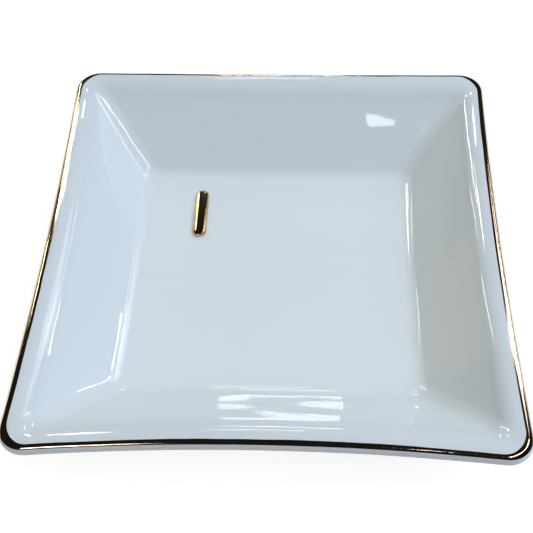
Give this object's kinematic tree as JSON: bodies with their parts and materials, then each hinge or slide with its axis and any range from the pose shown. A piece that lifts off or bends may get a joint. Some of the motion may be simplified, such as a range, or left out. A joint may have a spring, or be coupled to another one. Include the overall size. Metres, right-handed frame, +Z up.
{
  "type": "ring dish",
  "caption": "Square glazed ceramic ring dish with flared walls, slightly hollow sides, a gilded rim and a raised gilded bar on its floor.",
  "frame": {"origin": "on the table, under the middle of the dish", "axes": "+Z up, +Y towards the back as pictured, where the raised bar lies, and +X to the right"},
  "size_m": [0.1146, 0.1144, 0.0214],
  "materials": {
    "fired_clay": "matte",
    "white_glaze": "gloss",
    "relief_enamel": "satin",
    "gold": "polished"
  },
  "bodies": {
    "root": {"clay_body": "fired_clay", "glaze_coat": "white_glaze", "base_glaze": "white_glaze", "rim_gilding": "gold", "accent_relief": "relief_enamel", "accent_gilding": "gold"}
  },
  "joints": []
}
